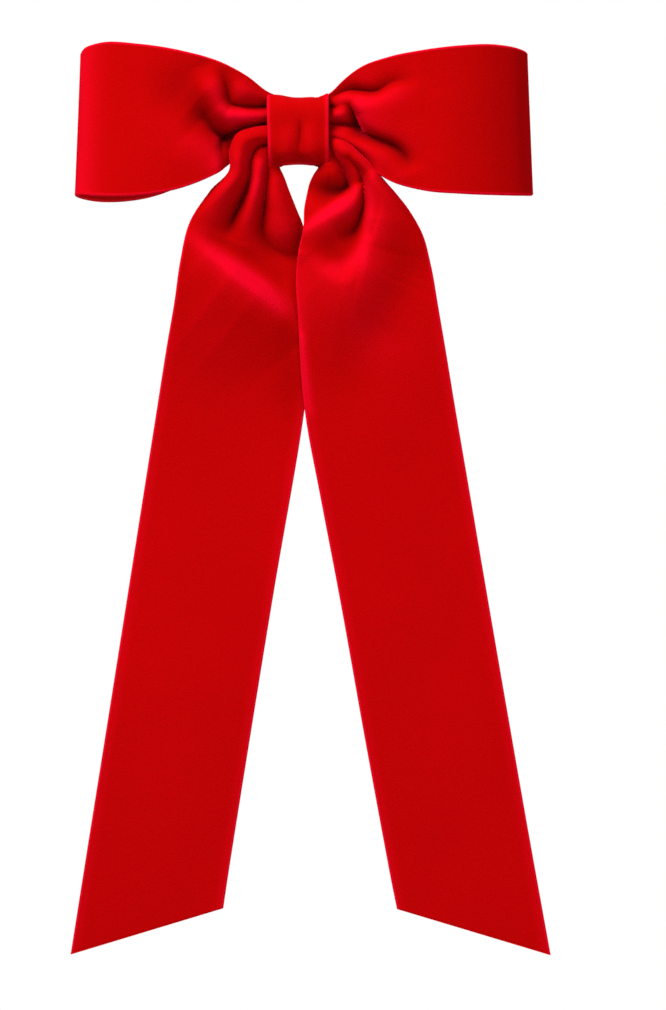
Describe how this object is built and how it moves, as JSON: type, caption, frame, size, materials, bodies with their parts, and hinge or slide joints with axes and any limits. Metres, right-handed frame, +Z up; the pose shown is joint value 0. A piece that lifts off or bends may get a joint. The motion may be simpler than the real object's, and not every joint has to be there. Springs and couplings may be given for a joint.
{
  "type": "hair bow",
  "caption": "Velvet ribbon hair bow with open loops, a wrapped knot and long slant-cut tails, on a hinged hair barrette with a pinch catch.",
  "frame": {"origin": "centre of the barrette plate's hair-side face, level with the knot", "axes": "+Z up as worn, -Y towards the side that is seen, +Y towards the hair, +X to the viewer's right"},
  "size_m": [0.1265, 0.0284, 0.2407],
  "materials": {
    "velvet": "short-pile red velvet ribbon with woven selvedges",
    "thread": "twisted red polyester sewing thread",
    "adhesive": "translucent hot-melt adhesive",
    "nickel": "nickel-plated stamped steel",
    "spring_steel": "bright spring steel strip"
  },
  "bodies": {
    "root": {"loop_ribbon": "velvet", "tail_gather": "velvet", "knot_wrap": "velvet", "loop_gather_thread": "thread", "tail_gather_thread": "thread", "wrap_end_stitches": "thread", "glue_pad": "adhesive", "base_plate": "nickel", "hinge_bracket": "nickel", "bracket_rivet": "nickel", "hinge_pin": "nickel", "catch_saddle": "nickel", "catch_rivet": "nickel"},
    "left_tail": {"left_tail": "velvet"},
    "right_tail": {"right_tail": "velvet"},
    "clasp_arm": {"clasp_arm": "nickel", "tension_strip": "spring_steel", "strip_rivet": "nickel"},
    "catch_prong_upper": {"catch_prong_upper": "spring_steel"},
    "catch_prong_lower": {"catch_prong_lower": "spring_steel"}
  },
  "joints": [
    {"name": "left_tail_swing", "type": "hinge", "parent": "root", "child": "left_tail", "pos_m": [-0.014, -0.0056, -0.0187], "axis": [-1, 0, 0], "range_deg": [-8, 60]},
    {"name": "right_tail_swing", "type": "hinge", "parent": "root", "child": "right_tail", "pos_m": [0.015, -0.0056, -0.0187], "axis": [-1, 0, 0], "range_deg": [-8, 60]},
    {"name": "clasp_hinge", "type": "hinge", "parent": "root", "child": "clasp_arm", "pos_m": [-0.0345, 0.0102, 0], "axis": [0, 0, 1], "range_deg": [0, 70]},
    {"name": "catch_pinch_upper", "type": "hinge", "parent": "root", "child": "catch_prong_upper", "pos_m": [0.0345, 0.0073, 0.00265], "axis": [-1, 0, 0], "range_deg": [-6, 0], "stiffness_Nm_per_rad": 0.02},
    {"name": "catch_pinch_lower", "type": "hinge", "parent": "root", "child": "catch_prong_lower", "pos_m": [0.0345, 0.0073, -0.00265], "axis": [-1, 0, 0], "range_deg": [0, 6], "stiffness_Nm_per_rad": 0.02}
  ],
  "couplings": [
    {"joint": "catch_pinch_lower", "follows": "catch_pinch_upper", "ratio": -1}
  ]
}
